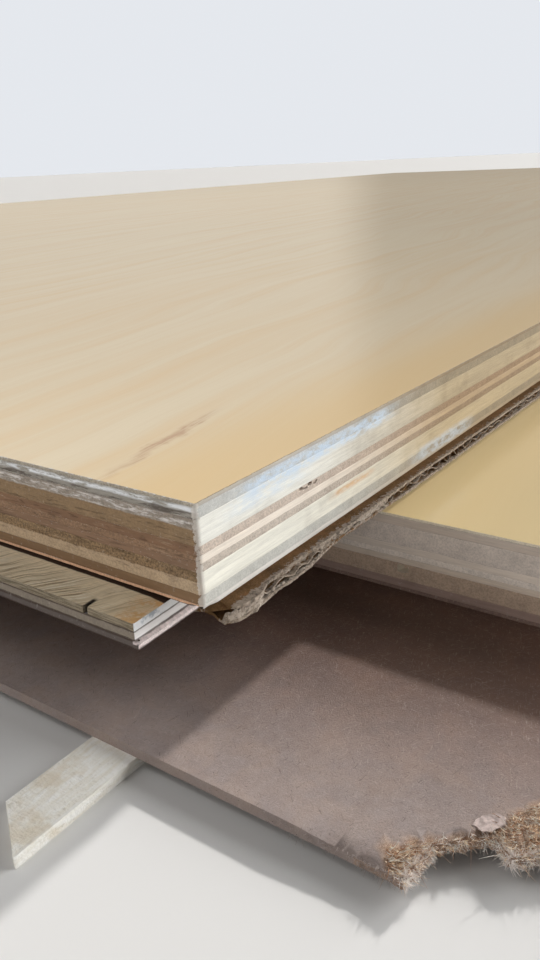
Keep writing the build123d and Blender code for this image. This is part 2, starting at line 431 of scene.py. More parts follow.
def veneer_material(name, run, right_tone, near_tones, levels, pores, top=False, hangs=False):
    """A bare veneer. Its grain runs along X or Y, so one texture gives streaks on the sides
    that lie along it and pores on the sides that cut across it. The near side's tones are
    pairs of a height and the tone that ends there."""
    s = Shading(name)
    squeeze = (0.05, 1.0, 1.0) if run == "X" else (1.0, 0.05, 1.0)
    own_place = (float(levels[0]) * 7.3, float(levels[1]) * 3.1, 0.0)
    grain = s.vector("ADD", s.stretched(*squeeze), own_place)
    fine = s.noise(grain, 0.42, 5.0, 0.68, 0.4)
    broad = s.noise(grain, 2.6, 3.0, 0.55)
    patch = s.noise(s.place, 9.0, 3.0, 0.6)
    wobble = s.minus(s.noise(s.place, 1.7, 3.0, 0.6), 0.5)
    z = s.plus(s.z, sag_of(s)) if hangs else s.z
    ends = s.span(s.axis(s.vector("ABSOLUTE", s.normal), "X"), 0.45, 0.75)
    near_colour = near_tones[-1][1]
    uneven = s.plus(z, s.times(wobble, 0.5))
    for limit, tone in near_tones[-2::-1]:
        near_colour = s.mix(s.span(uneven, limit - 0.12, limit + 0.12), near_colour, tone)
    colour = s.mix(ends, right_tone, near_colour)
    # Streaks along the grain, pores where it is cut across
    across = ends if run == "X" else s.minus(1.0, ends)
    streaks = s.span(fine, 0.32, 0.68, 0.90, 1.06)
    dots = s.span(fine, 0.34, 0.62, 1.0 - pores[1], 1.0 + 0.45 * pores[1])
    if pores[0] != pores[1]:
        right_dots = s.span(fine, 0.34, 0.62, 1.0 - pores[0], 1.0 + 0.45 * pores[0])
        dots = s.blend(ends, right_dots, dots)
    if len(near_tones) > 1:
        calm = s.times(s.span(z, near_tones[0][0] + 0.2, near_tones[0][0] - 0.2), ends)
        across = s.times(across, s.span(calm, 0.0, 1.0, 1.0, 0.25))
    light = s.blend(across, streaks, dots)
    light = s.times(light, s.span(broad, 0.3, 0.7, 0.93, 1.06))
    colour = s.vector("SCALE", colour, scale=light)
    # Dark glue at the veneer's two glue lines, and on a hanging layer a wider, darker band of
    # painted shade where it gapes
    gap = s.math("MINIMUM", s.minus(z, levels[0]), s.minus(levels[1], z))
    wide, right_share, near_share, tone = 0.07, 0.22, 0.45, GLUE
    if hangs:
        wide, right_share, near_share, tone = 0.36, 0.80, 0.85, GAPE_SHADE
    glue = s.span(s.minus(gap, s.times(wobble, 0.3)), wide, wide / 2 - 0.085)
    colour = s.mix(s.times(glue, s.span(ends, 0.0, 1.0, right_share, near_share)), colour, tone)
    # Grey handling dirt in patches and pale saw dust caught in the roughness
    colour = s.laid(colour, DIRT, patch, 0.52, 0.74, 0.16)
    dust = s.span(s.noise(s.place, 0.9, 4.0, 0.7), 0.58, 0.74, 0.0, 0.22)
    colour = s.mix(dust, colour, DUST)
    if top:
        # Painted shade: further from the near end the right side grows darker and warmer, where
        # less light reaches it
        right_side = s.facing("Y", -0.4, -0.75)
        far_shade = s.times(s.span(s.plus(s.x, s.times(patch, 20.0)), 30.0, 105.0), right_side)
        colour = s.mix(far_shade, colour, (0.55, 0.45, 0.32), "MULTIPLY")
        colour = smear(s, colour)
        colour = scuffs(s, colour, ends)
    pits = s.plus(s.times(fine, 0.7), s.times(broad, 0.5))
    s.bump(pits, 0.10)
    return s.finish(colour, s.span(fine, 0.2, 0.8, 0.72, 0.95), Specular_IOR_Level=0.25)


def sag_of(s):
    """The loose layers' sag, worked out by nodes."""
    rest = float(near_box("second_face_veneer")[0][0])
    near = float(near_box("thin_face_veneer")[0][0])
    past = s.math("DIVIDE", s.math("MAXIMUM", s.minus(rest, s.x), 0.0), rest - near)
    return s.times(past, past, SAG)


def smear(s, colour):
    """Paint scuffed on the top sheet's right side, near its upper and lower arris."""
    right_side = s.facing("Y", -0.4, -0.75)
    ragged = s.noise(s.stretched(0.35, 1.0, 1.0), 1.4, 5.0, 0.72)
    for low_x, high_x, low_z, high_z, tone, much in (
        (12.0, 62.0, -3.6, -0.9, BLUE_PAINT, 0.80),
        (9.0, 30.0, -5.6, -3.0, BLUE_PAINT, 0.45),
        (74.0, 104.0, -17.5, -14.4, (0.50, 0.56, 0.62), 0.7),
    ):
        place = s.times(s.within(s.x, low_x, high_x, 6.0), s.within(s.z, low_z, high_z, 0.7))
        share = s.times(place, s.span(ragged, 0.36, 0.58, 0.1, much), right_side)
        colour = s.mix(share, colour, tone)
    # A warm stain in the lower core
    stain = s.times(s.within(s.x, 39.0, 54.0, 3.0), s.within(s.z, -13.0, -11.9, 0.5))
    share = s.times(stain, right_side, s.span(ragged, 0.35, 0.6, 0.2, 0.8))
    return s.mix(share, colour, (0.62, 0.36, 0.16))


def scuffs(s, colour, ends):
    """Pale torn fibre below the near side's upper arris, and dark cracks beside it that are painted
    shade.
    """
    fibre = s.noise(s.stretched(1.0, 0.16, 1.0), 0.8, 4.0, 0.7)
    for low_z, high_z, tone, low, high, much in (
        (-1.5, -0.7, (0.86, 0.88, 0.90), 0.40, 0.56, 0.95),
        (-4.2, -2.7, (0.84, 0.80, 0.77), 0.46, 0.62, 0.75),
        # The dark rows are painted shade, standing in for cracks
        (-2.6, -1.6, (0.07, 0.05, 0.04), 0.42, 0.60, 0.75),
        (-11.9, -11.3, (0.09, 0.055, 0.03), 0.46, 0.62, 0.6),
    ):
        place = s.times(s.within(s.z, low_z, high_z, 0.3), ends)
        colour = s.mix(s.times(place, s.span(fibre, low, high, 0.0, much)), colour, tone)
    # Fine dark and pale streaks that waver along the brown middle of the edge
    streak = s.noise(s.stretched(1.0, 0.10, 1.0), 0.5, 4.0, 0.65, 0.8)
    middle = s.times(s.within(s.z, -14.2, -4.4, 0.8), ends)
    for low, high, much, tone in (
        (0.54, 0.66, 0.6, (0.085, 0.05, 0.03)),
        (0.42, 0.30, 0.4, (0.46, 0.34, 0.23)),
    ):
        colour = s.mix(s.times(middle, s.span(streak, low, high, 0.0, much)), colour, tone)
    # The upright arris is rubbed down to pale fibre
    nibble = s.noise(s.place, 0.9, 4.0, 0.7)
    arris = s.plus(s.x, s.y)
    rubbed = s.span(s.minus(arris, s.times(nibble, 1.6)), 0.02, -0.16, 0.0, 0.65)
    return s.mix(rubbed, colour, (0.80, 0.75, 0.68))


def maple_material(name, tone=(0.685, 0.58, 0.41), warm=(0.67, 0.47, 0.25), worn=True):
    """A prefinished maple face: faint figure under a clear glossy coat, rubbed arrises."""
    s = Shading(name)
    drift = s.noise(s.stretched(0.006, 0.01, 0.0), 1.0, 2.0, 0.5)
    sideways = s.vector("SCALE", (0.0, 1.0, 0.0), scale=s.times(drift, 40.0))
    slant = s.rotated(s.vector("ADD", s.place, sideways), -8)
    long_figure = s.vector("MULTIPLY", slant, (0.03, 1.0, 1.0))
    fibres = s.noise(long_figure, 0.6, 5.0, 0.65)
    bands = s.noise(long_figure, 9.0, 4.0, 0.6, 0.3)
    fleck = s.noise(s.vector("MULTIPLY", slant, (0.18, 1.0, 1.0)), 1.1, 3.0, 0.7)
    cloud = s.noise(s.place, 60.0, 2.0, 0.5)
    x = s.x
    y = s.y
    colour = s.laid(tone, warm, bands, 0.38, 0.72, 0.7)
    colour = s.mix(s.span(bands, 0.3, 0.50, 0.4, 0.0), colour, shade(tone, 1.07))
    colour = s.laid(colour, shade(warm, 0.85), fibres, 0.42, 0.68, 0.14)
    colour = s.laid(colour, shade(warm, 0.6), fleck, 0.66, 0.74, 0.12)
    colour = s.laid(colour, shade(tone, 1.06), cloud, 0.4, 0.7, 0.2)
    # Warmer strip of veneer along the right side
    yellower = (warm[0], warm[1], warm[2] * 0.88)
    colour = s.laid(colour, shade(yellower, 1.02), y, 34.0, 6.0, 0.8)
    # A reddish mineral streak that runs away from the near corner
    wander = s.times(s.minus(s.noise(s.place, 7.0, 3.0, 0.6), 0.5), 5.0)
    line = s.plus(s.minus(y, s.times(x, 0.2)), wander)
    streak = s.times(s.within(line, 19.4, 21.0, 1.3), s.within(x, 4.0, 38.0, 9.0))
    feather = s.span(fibres, 0.40, 0.58, 0.25, 0.85)
    colour = s.mix(s.times(streak, feather), colour, (0.36, 0.165, 0.075))
    if worn:
        # The arris is rubbed down to pale wood fibre and grey dirt
        edge = s.math("MINIMUM", x, y)
        nibble = s.noise(s.place, 1.3, 4.0, 0.7)
        rubbed = s.span(s.minus(edge, s.times(nibble, 0.9)), -0.05, -0.32)
        on_near = s.span(s.minus(y, x), -0.5, 0.5)
        dull = s.mix(on_near, (0.22, 0.165, 0.11), (0.16, 0.145, 0.13))
        pale = s.mix(on_near, (0.44, 0.38, 0.31), (0.60, 0.60, 0.59))
        colour = s.mix(rubbed, colour, s.mix(s.span(nibble, 0.45, 0.60), dull, pale))
        coat_rough = s.span(rubbed, 0.0, 1.0, 0.34, 0.85)
    else:
        coat_rough = 0.34
    s.bump(s.plus(s.times(fibres, 0.4), s.times(cloud, 2.0)), 0.012)
    return s.finish(
        colour, coat_rough, Coat_Weight=0.8, Coat_Roughness=0.14, Specular_IOR_Level=0.4
    )


def pine_material(name):
    """Bare pine veneer with growth lines that fan across its near edge, raised torn grain
    and an orange stain at the corner."""
    s = Shading(name)
    x = s.x
    y = s.y
    drift = s.noise(s.stretched(0.05, 0.03, 0.0), 1.0, 3.0, 0.5)
    # Lines run across the strip and bend towards the corner
    bent = s.plus(y, s.times(x, 0.55), s.times(x, x, -0.045), s.times(drift, 14.0))
    lines = s.noise(s.combined(bent, s.times(x, 0.06), 0.0), 0.55, 3.0, 0.6)
    wide = s.noise(s.combined(bent, s.times(x, 0.04), 0.0), 2.6, 2.0, 0.5)
    fine = s.noise(s.stretched(1.0, 0.14, 1.0), 0.4, 5.0, 0.7)
    torn = s.noise(s.place, 2.4, 4.0, 0.65)
    early = (0.78, 0.655, 0.455)
    late = (0.24, 0.165, 0.09)
    raised = (0.92, 0.86, 0.72)
    # Near the edge the ridges are paler, as torn fibre and painted highlight, and the grooves
    # darker, as late wood and painted shade
    ridge = s.span(lines, 0.54, 0.66)
    groove = s.span(lines, 0.48, 0.36)
    near_edge = s.times(s.span(x, 0.5, -6.0), s.span(y, 14.0, 26.0))
    colour = s.laid(early, shade(early, 0.72), wide, 0.42, 0.62, 0.45)
    for line, low, high, tone in ((groove, 0.40, 0.85, late), (ridge, 0.25, 0.9, raised)):
        colour = s.mix(s.times(line, s.span(near_edge, 0.0, 1.0, low, high)), colour, tone)
    colour = s.laid(colour, shade(early, 0.6), fine, 0.48, 0.68, 0.35)
    colour = s.laid(colour, (0.80, 0.70, 0.52), torn, 0.56, 0.68, 0.35)
    # Greyer towards the far end of the strip, orange at the corner
    colour = s.laid(colour, (0.62, 0.56, 0.46), y, 34.0, 62.0, 0.4)
    stain = s.times(s.span(y, 14.5, 9.0), s.span(torn, 0.40, 0.56, 0.25, 0.85))
    colour = s.mix(stain, colour, (0.66, 0.38, 0.15))
    # Painted shade in the gap below the top sheet, and further on inside the torn check
    towards_gap = s.plus(x, s.times(torn, 0.4))
    colour = s.laid(colour, (0.035, 0.016, 0.008), towards_gap, -0.30, 0.0)
    strands = s.noise(s.stretched(1.0, 0.1, 1.6), 0.5, 4.0, 0.7)
    wall = s.mix(s.span(strands, 0.38, 0.62), (0.16, 0.13, 0.085), (0.34, 0.28, 0.20))
    right_wall = s.mix(s.span(torn, 0.36, 0.52), (0.46, 0.50, 0.54), (0.86, 0.87, 0.87))
    right_side = s.times(s.facing("Y", -0.4, -0.7), s.span(y, 14.0, 11.0))
    wall = s.mix(right_side, wall, right_wall)
    colour = s.mix(s.facing("Z", 0.75, 0.45), colour, wall)
    height = s.plus(s.times(fine, 0.3), s.times(lines, s.span(near_edge, 0.0, 1.0, 0.8, 1.6)))
    s.bump(height, 0.40)
    # Painted shade inside the torn check
    check = s.times(s.within(y, 18.15, 19.05, 0.25), s.span(x, -4.6, -5.6))
    colour = s.mix(check, colour, (0.012, 0.008, 0.006))
    return s.finish(colour, 0.8, Specular_IOR_Level=0.25)


def card_material(name, tone=(0.24, 0.135, 0.06), torn=(0.44, 0.36, 0.285)):
    """Brown kraft paper, paler and greyer where it is torn."""
    s = Shading(name)
    fibres = s.noise(s.place, 0.35, 5.0, 0.75, 0.8)
    blotch = s.noise(s.place, 4.0, 3.0, 0.6)
    nibble = s.noise(s.place, 1.3, 4.0, 0.7)
    inward = s.math("MINIMUM", s.minus(s.y, 2.4), s.minus(s.x, 8.6))
    reach = s.span(nibble, 0.40, 0.64, 0.25, 1.25)
    at_edge = s.span(s.minus(inward, reach), 0.15, -0.15)
    colour = s.mix(s.span(fibres, 0.35, 0.7), shade(tone, 0.75), shade(tone, 1.3))
    colour = s.laid(colour, shade(tone, 0.5), blotch, 0.46, 0.70, 0.7)
    colour = s.laid(colour, (0.34, 0.17, 0.07), blotch, 0.44, 0.34, 0.5)
    pulp = s.mix(s.span(s.noise(s.place, 0.8, 4.0, 0.7), 0.36, 0.56), shade(torn, 0.42), torn)
    colour = s.mix(s.times(at_edge, s.span(fibres, 0.28, 0.50, 0.55, 1.0)), colour, pulp)
    s.bump(s.plus(fibres, nibble), 0.2)
    return s.finish(colour, 0.92, Specular_IOR_Level=0.15)


def hardboard_material(name):
    """Pressed fibre: a smooth grey brown face with flecks, orange brown where it is torn."""
    s = Shading(name)
    grit = s.noise(s.place, 0.35, 4.0, 0.75)
    mottle = s.noise(s.place, 2.2, 4.0, 0.65, 0.8)
    cloud = s.noise(s.place, 16.0, 3.0, 0.55)
    tone = (0.285, 0.226, 0.203)
    colour = s.mix(s.span(cloud, 0.35, 0.7), shade(tone, 0.92), shade(tone, 1.08))
    colour = s.laid(colour, (0.34, 0.285, 0.26), mottle, 0.38, 0.62, 0.30)
    colour = s.laid(colour, shade(tone, 0.62), grit, 0.46, 0.30, 0.45)
    # Painted light and shade: paler towards the open near edge, where more light falls, and darker
    # and warmer inwards, under the stack's shadow
    inward = s.span(s.x, -8.0, 44.0)
    painted_light_edge = s.tinted(colour, (1.10, 1.10, 1.10))
    colour = s.mix(inward, painted_light_edge, s.tinted(colour, (0.50, 0.36, 0.30)))
    cool = s.noise(s.place, 6.0, 3.0, 0.6)
    colour = s.laid(colour, s.tinted(colour, (0.84, 0.90, 0.98)), cool, 0.40, 0.62, 0.35)
    warm = s.noise(s.place, 8.0, 4.0, 0.65, 0.5)
    colour = s.laid(colour, s.tinted(colour, (1.08, 1.04, 0.98)), warm, 0.44, 0.62, 0.55)
    for turn, length, width, low, high, much, mark in (
        (12, 1.7, 0.18, 0.70, 0.74, 0.55, (0.10, 0.07, 0.055)),
        (71, 1.5, 0.16, 0.71, 0.75, 0.50, (0.11, 0.075, 0.06)),
        (133, 2.2, 0.20, 0.71, 0.75, 0.55, (0.09, 0.06, 0.05)),
        (38, 1.6, 0.20, 0.64, 0.74, 0.22, (0.50, 0.42, 0.37)),
        (98, 1.8, 0.18, 0.64, 0.74, 0.20, (0.50, 0.42, 0.37)),
        (160, 1.4, 0.20, 0.64, 0.74, 0.22, (0.52, 0.44, 0.39)),
    ):
        colour = s.mix(s.times(s.dashes(turn, length, width, low, high), much), colour, mark)
    # Below the hard face the board is loose orange brown fibre
    torn = s.make("Attribute", {}, attribute_name="torn")["Fac"]
    strands = s.noise(s.place, 0.45, 5.0, 0.78, 2.5)
    raw = s.mix(s.span(strands, 0.35, 0.65), (0.28, 0.145, 0.08), (0.78, 0.56, 0.41))
    raw = s.laid(raw, (0.72, 0.58, 0.47), s.noise(s.place, 2.0, 3.0, 0.6), 0.5, 0.7, 0.5)
    colour = s.mix(torn, colour, raw)
    s.bump(s.plus(s.times(strands, torn), s.times(grit, 0.20), s.times(mottle, 0.12)), 0.5)
    return s.finish(colour, s.span(torn, 0.0, 1.0, 0.60, 0.95), Specular_IOR_Level=0.3)


def sawn_material(name):
    """Rough sawn pale softwood."""
    s = Shading(name)
    grain = s.noise(s.stretched(0.16, 1.0, 1.0), 0.9, 4.0, 0.65)
    cross = s.noise(s.stretched(1.0, 0.5, 1.0), 0.8, 4.0, 0.7)
    warm = s.noise(s.place, 7.0, 3.0, 0.6)
    colour = s.mix(s.span(grain, 0.35, 0.65), (0.88, 0.84, 0.74), (0.96, 0.94, 0.88))
    colour = s.laid(colour, (0.72, 0.60, 0.42), warm, 0.48, 0.66, 0.5)
    colour = s.laid(colour, (0.46, 0.39, 0.30), cross, 0.60, 0.74, 0.4)
    s.bump(s.plus(grain, cross), 0.3)
    return s.finish(colour, 0.9, Specular_IOR_Level=0.2)


def fibre_material(name, tone, variety=0.35):
    """Loose wood fibres, each stretch a little lighter or darker."""
    s = Shading(name)
    patch = s.noise(s.place, 0.8, 2.0, 0.6)
    colour = s.mix(s.span(patch, 0.35, 0.65), shade(tone, 1 - variety), shade(tone, 1 + variety))
    return s.finish(colour, 0.9, Specular_IOR_Level=0.2)


# The thick sheets: nine veneers each, with the way their grain runs and their tones

THICK_VENEERS = (
    ("face_veneer", "X"), ("upper_crossband", "Y"), ("upper_core", "X"),
    ("upper_inner", "Y"), ("centre_core", "X"), ("lower_inner", "Y"),
    ("lower_core", "X"), ("lower_crossband", "Y"), ("back_veneer", "X"),
)
# Heights of the glue lines below the top sheet's face, as the photograph shows them
GLUE_LINES = (0.0, -0.6, -2.5, -7.05, -8.65, -10.0, -11.4, -15.3, -17.1, -18.0)
# For each veneer: the tone of the right side, the tones of the near side from the top
# down with the height where each ends, and how strong the pores are on both sides
# The top sheet's near-side tones are its wood's colour darkened by painted shade
TOP_TONES = (
    ((0.47, 0.43, 0.37), ((-0.6, (0.42, 0.375, 0.305)),), (0.2, 0.3)),
    ((0.52, 0.52, 0.49), ((-2.5, (0.37, 0.345, 0.30)),), (0.12, 0.3)),
    ((0.78, 0.77, 0.70), ((-4.3, (0.34, 0.29, 0.24)), (-7.0, (0.29, 0.195, 0.11))), (0.1, 0.25)),
    ((0.56, 0.47, 0.395), ((-8.6, (0.25, 0.145, 0.085)),), (0.22, 0.2)),
    ((0.80, 0.72, 0.62), ((-10.0, (0.29, 0.18, 0.11)),), (0.1, 0.25)),
    ((0.53, 0.46, 0.39), ((-11.4, (0.26, 0.16, 0.10)),), (0.22, 0.2)),
    ((0.82, 0.80, 0.70), ((-13.2, (0.28, 0.185, 0.10)), (-15.3, (0.50, 0.37, 0.24))), (0.1, 0.55)),
    ((0.52, 0.51, 0.465), ((-17.1, (0.23, 0.14, 0.075)),), (0.12, 0.2)),
    # The back veneer's last near-side tone, almost black, is painted shade in the gap below the
    # sheet
    ((0.62, 0.59, 0.54), ((-17.6, (0.66, 0.40, 0.25)), (-18.0, (0.03, 0.014, 0.007))), (0.1, 0.2)),
)
# The second sheet's near-side tones are its wood's colour lightened by painted light, where the top
# sheet shades that side
SECOND_TONES = (
    ((0.50, 0.46, 0.39), ((-0.6, (0.84, 0.77, 0.63)),), (0.15, 0.15)),
    ((0.52, 0.48, 0.42), ((-2.5, (0.66, 0.57, 0.49)),), (0.12, 0.12)),
    ((0.70, 0.62, 0.50), ((-7.0, (0.73, 0.65, 0.58)),), (0.1, 0.15)),
    ((0.45, 0.34, 0.26), ((-8.6, (0.80, 0.71, 0.62)),), (0.2, 0.12)),
    ((0.70, 0.58, 0.46), ((-10.0, (0.82, 0.74, 0.66)),), (0.1, 0.15)),
    ((0.45, 0.34, 0.26), ((-11.4, (0.70, 0.60, 0.50)),), (0.2, 0.12)),
    ((0.70, 0.62, 0.50), ((-15.3, (0.49, 0.37, 0.28)),), (0.1, 0.2)),
    ((0.50, 0.46, 0.40), ((-17.1, (0.33, 0.235, 0.20)),), (0.12, 0.15)),
    ((0.52, 0.44, 0.36), ((-18.0, (0.215, 0.145, 0.12)),), (0.1, 0.2)),
)


def veneer_push(run, seed, amount, low, levels, extra=None):
    """How far each point of a veneer's wall stands out: streaks along the grain, pits and
    torn fibre across it, and slightly sunken glue lines."""
    def push(x, y, z):
        stretch = (0.10, 1.0) if run == "X" else (1.0, 0.10)
        fine = rough_noise(x * 1.9 * stretch[0], y * 1.9 * stretch[1], z * 2.3, 3, seed)
        coarse = rough_noise(x * 0.9 * stretch[0], y * 0.9 * stretch[1], z * 0.9, 2, seed + 5)
        slow = rough_noise(x * 0.06, y * 0.06, z * 0.05, 2, 3)
        on_right = np.abs(y - low[1]) < 1.2
        cut_across = on_right == (run == "Y")
        pits = -np.maximum(0, fine - 0.25) * np.where(cut_across, 0.22, 0.08)
        calm = np.where(on_right, 0.35, 1.0) * amount
        out = calm * (fine * 0.05 + coarse * 0.06 + pits) + slow * 0.05
        gap = np.minimum(z - levels[0], levels[1] - z)
        out = out - 0.08 * calm * (gap < 0.05)
        if extra is not None:
            out = out + extra(x, y, z)
        return np.minimum(out, 0.35)
    return push


def thick_sheet(prefix, tones, steps, wear, amount, extras):
    """All veneers of a thick sheet, rough at their sawn edges."""
    face = near_box(f"{prefix}_face_veneer")[1][2]
    # Painted light: the second sheet's near-side tones are lightened further
    painted_light_gain = 1.0 if prefix == "top" else 1.07
    for index, (layer, run) in enumerate(THICK_VENEERS):
        right_tone, near_tones, pores = tones[index]
        node = f"{prefix}_{layer}"
        low, high = near_box(node)
        levels = (face + GLUE_LINES[index + 1], face + GLUE_LINES[index])
        near_tones = tuple((face + limit, shade(tone, painted_light_gain)) for limit, tone in near_tones)
        ring_gap = 0.22
        rings = max(4, int(round((levels[1] - levels[0]) / ring_gap))) + 1
        heights = np.linspace(levels[0], levels[1], rings)
        ring = rectangle_ring(low, high, steps, wear)
        push = veneer_push(run, 10 * index + len(prefix), amount, low, levels, extras.get(layer))
        points, faces = plate(ring, heights, push)
        wood = veneer_material(
            node + "_wood", run, right_tone, near_tones, levels, pores, prefix == "top"
        )
        if layer == "face_veneer":
            piece = make_piece(node + "_look", points, faces, maple_face_of(prefix))
            piece.data.materials.append(wood)
            for polygon in piece.data.polygons:
                polygon.material_index = 0 if polygon.normal.z > 0.8 else 1
        else:
            piece = make_piece(node + "_look", points, faces, wood)
        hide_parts(node)


def maple_face_of(prefix):
    """The face of the top sheet, or the paler, shaded one of the second sheet."""
    if prefix == "top":
        return maple_material("top_face_maple")
    return maple_material("second_face_maple", (0.72, 0.60, 0.37), (0.62, 0.47, 0.26), False)


def chipped_arris(x, y, z):
    """The back veneer is chipped away at the corner and along the near side's lower arris."""
    away = np.hypot(np.maximum(x, 0), np.maximum(y, 0))
    ragged = 0.8 * rough_noise(x, y, z, 2, 4)
    corner_chip = -0.5 * ramp_up(3.6 - away + ragged, 0, 2.5) * (z < -17.5)
    bite = 0.75 + 0.35 * rough_noise(x * 0, y * 0.3, z * 0, 3, 8)
    return corner_chip - 0.6 * bite * (np.abs(x) < 1.0) * ramp_up(y, 0.6, 2.2) * (z < -17.55)


def open_gaps(x, y, z):
    """Small open gaps between the strips of one inner veneer, on the right side."""
    depth = np.zeros(len(x))
    middle = near_box("top_upper_inner")
    height = (middle[0][2] + middle[1][2]) / 2
    crooked = 0.5 * rough_noise(x * 1.1, x * 0, z * 1.1, 3, 19)
    for gap_x, gap_z, wide, tall in (
        (28.2, 0.15, 0.55, 0.22), (29.6, -0.1, 0.75, 0.16),
        (31.1, 0.1, 0.6, 0.28), (33.0, 0.0, 0.5, 0.14),
    ):
        hole = ((x - gap_x) / wide) ** 2 + ((z - height - gap_z - crooked * 0.5) / tall) ** 2 < 1
        depth = depth - 1.1 * (hole & (np.abs(y) < 0.5))
    return depth


def frayed_arris(x, y, z):
    """Torn fibre just under the top face on the near side."""
    on_near = np.abs(x) < 1.0
    ragged = rough_noise(x, y * 0.5, z * 2.5, 3, 21)
    return np.where(on_near, -0.25 * ramp_up(ragged, 0.0, 0.7), 0.0)


def knot_hole(x, y, z):
    """A small dark knot hole in the second sheet's near side."""
    hole = (y + 2.5) ** 2 + (z + 38.1) ** 2 < 0.9**2
    near = x < near_box("second_lower_core")[0][0] + 1
    return -1.6 * (hole & near)


thick_sheet(
    "top", TOP_TONES, FINE_STEPS, CORNER_WEAR, 1.0,
    {
        "upper_crossband": frayed_arris,
        "upper_inner": open_gaps,
        "back_veneer": chipped_arris,
    },
)
thick_sheet("second", SECOND_TONES, SECOND_STEPS, 0.0, 0.6, {"lower_core": knot_hole})


# The thin sheet: three veneers that sag in front of the second sheet

def torn_check(x, y, z):
    """A check torn into the near edge of the face veneer."""
    return -1.6 * ramp_up(0.45 - np.abs(y - 18.6), 0, 0.25) * (x < 0)


def splintered(x, y, z):
    """The back veneer's right edge is splintered, and split off along its upper glue line."""
    low, high = near_box("thin_back_veneer")
    on_right = np.abs(y - low[1]) < 1
    split = 0.9 * (z > high[2] - 0.35) * (0.7 + 0.5 * noise_along(x * 0.25, 2, 33))
    return on_right * (0.22 * rough_noise(x * 0.8, y, z, 3, 31) - split)


def swollen(points):
    """The pine face rises to meet the top sheet's underside beside its near wall."""
    low, high = near_box("thin_face_veneer")
    on_top = points[:, 2] > high[2] - 0.05
    beside = ramp_up(points[:, 0], -5.5, -0.8) * ramp_up(points[:, 1] - low[1], 1.0, 5.0)
    points[:, 2] += on_top * beside * 0.78 * sag(points[:, 0])
    return points


def thin_sheet():
    """Three crossed veneers, of which the upper one is pine. The others' looks are the tone
    of the right side, that of the near side and the strength of the pores on both."""
    for index, (node, run, thickness, slot, extra, look) in enumerate((
        ("thin_face_veneer", "Y", 1.4, "pine_face", torn_check, None),
        ("thin_middle_veneer", "X", 1.7, "cross_ply", None,
         ((0.84, 0.81, 0.79), (0.26, 0.22, 0.175), (0.25, 0.12))),
        ("thin_back_veneer", "Y", 1.4, "pale_veneer", splintered,
         ((0.88, 0.76, 0.73), (0.12, 0.098, 0.088), (0.2, 0.2))),
    )):
        low, high = near_box(node)
        levels = (high[2] - thickness, high[2])
        ring = rectangle_ring(low, high, FINE_STEPS, 0.3)
        heights = np.linspace(levels[0], levels[1], 6)
        push = veneer_push(run, 50 + index, 1.1, low, levels, extra)
        inner = bending_grid(low, high)
        lift = None
        if look is None:
            inner += [(x, y) for x in (-4.0, -0.9) for y in np.arange(low[1] + 3.3, 420, 6.1)]
            lift = swollen
            material = pine_material("thin_pine")
        else:
            right_tone, near_tone, pores = look
            near_tones = ((levels[0] - 2.0, near_tone),)
            material = veneer_material(
                node + "_wood", run, right_tone, near_tones, levels, pores, hangs=True
            )
        points, faces = plate(ring, heights, push, sag, inner, lift)
        piece = make_piece(node + "_look", points, faces, material)
        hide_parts(node)


thin_sheet()


# Corrugated board

def torn_ring(low, high, tear):
    """A liner's ring whose near corner is torn off along a line."""
    ring = rectangle_ring(low, high, LINER_STEPS)
    on_right = (ring[:, 3] == -1) & (ring[:, 0] > low[0] + tear[-1][0])
    on_near = (ring[:, 2] == -1) & (ring[:, 1] > low[1] + tear[0][1])
    others = (ring[:, 2] == 1) | (ring[:, 3] == 1)
    line = []
    for (ax, ay), (bx, by) in zip(tear[:-1], tear[1:]):
        out = np.array((ay - by, bx - ax)) * -1.0
        out = out / np.hypot(*out)
        for t in np.linspace(0, 1, 9, endpoint=False):
            line.append((low[0] + ax + (bx - ax) * t, low[1] + ay + (by - ay) * t, *out))
    line.append((low[0] + tear[-1][0], low[1], 0, -1))
    return np.vstack([line, ring[on_right], ring[others], ring[on_near]])


# Where the liners' near corners are torn off, in millimetres from the full corner. They
# follow the photograph more closely than the solids' tears do.
UPPER_TEAR = ((0, 13), (3.6, 8), (3.0, 4.6), (2.3, 2.2), (1.8, 0.9), (2.4, 0))
LOWER_TEAR = (
    (0, 14), (2.8, 9), (1.9, 6.0), (1.3, 3.6), (0.5, 1.7), (0.1, 0.8), (0.9, 0.3), (2.0, 0),
)
# How far the torn liners stand out along the board's right side, in millimetres
UPPER_OUTLINE = (
    (10.5, 12.5, 14.3, 17.7, 20, 25, 34, 39, 46, 51, 58, 75),
    (0.1, 1.1, 1.5, 1.2, 0.1, -0.2, -0.3, 0.2, 0.4, 0.6, 0.3, 0),
)
LOWER_OUTLINE = (
    (8.5, 11, 15, 18, 23, 28, 34, 38, 41, 48, 56, 65, 80),
    (-0.7, 0.5, 1.2, 0.7, 0.4, 0.7, 0.6, 0.0, -0.5, -0.8, -0.6, -0.4, 0),
)


def torn_paper(seed, depth, outline):
    """The torn edge of a liner."""
    def push(x, y, z):
        bite = rough_noise(x * 0.6, y * 0.6, z * 0, 4, seed)
        tear = depth * bite + 0.14 * rough_noise(x * 2.4, y * 2.4, z * 4, 2, seed + 3)
        on_right = ramp_up(4.0 - y, 0, 1.5)
        return np.clip(tear, -1.2, 0.7) + on_right * np.interp(x, *outline)
    return push


def liners(material):
    """Both torn sheets of paper. They are swollen towards the fluting."""
    for node, seed, tear, outline, swell in (
        ("card_upper_liner", 61, UPPER_TEAR, UPPER_OUTLINE, (-0.22, 0.0)),
        ("card_lower_liner", 71, LOWER_TEAR, LOWER_OUTLINE, (0.0, 0.25)),
    ):
        low, high = near_box(node)
        levels = np.linspace(high[2] - PAPER + swell[0], high[2] + swell[1], 4)
        ring = torn_ring(low, high, tear)
        inner = bending_grid(low, high)
        points, faces = plate(ring, levels, torn_paper(seed, 0.32, outline), sag, inner)
        piece = make_piece(node + "_look", points, faces, material)
        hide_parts(node)


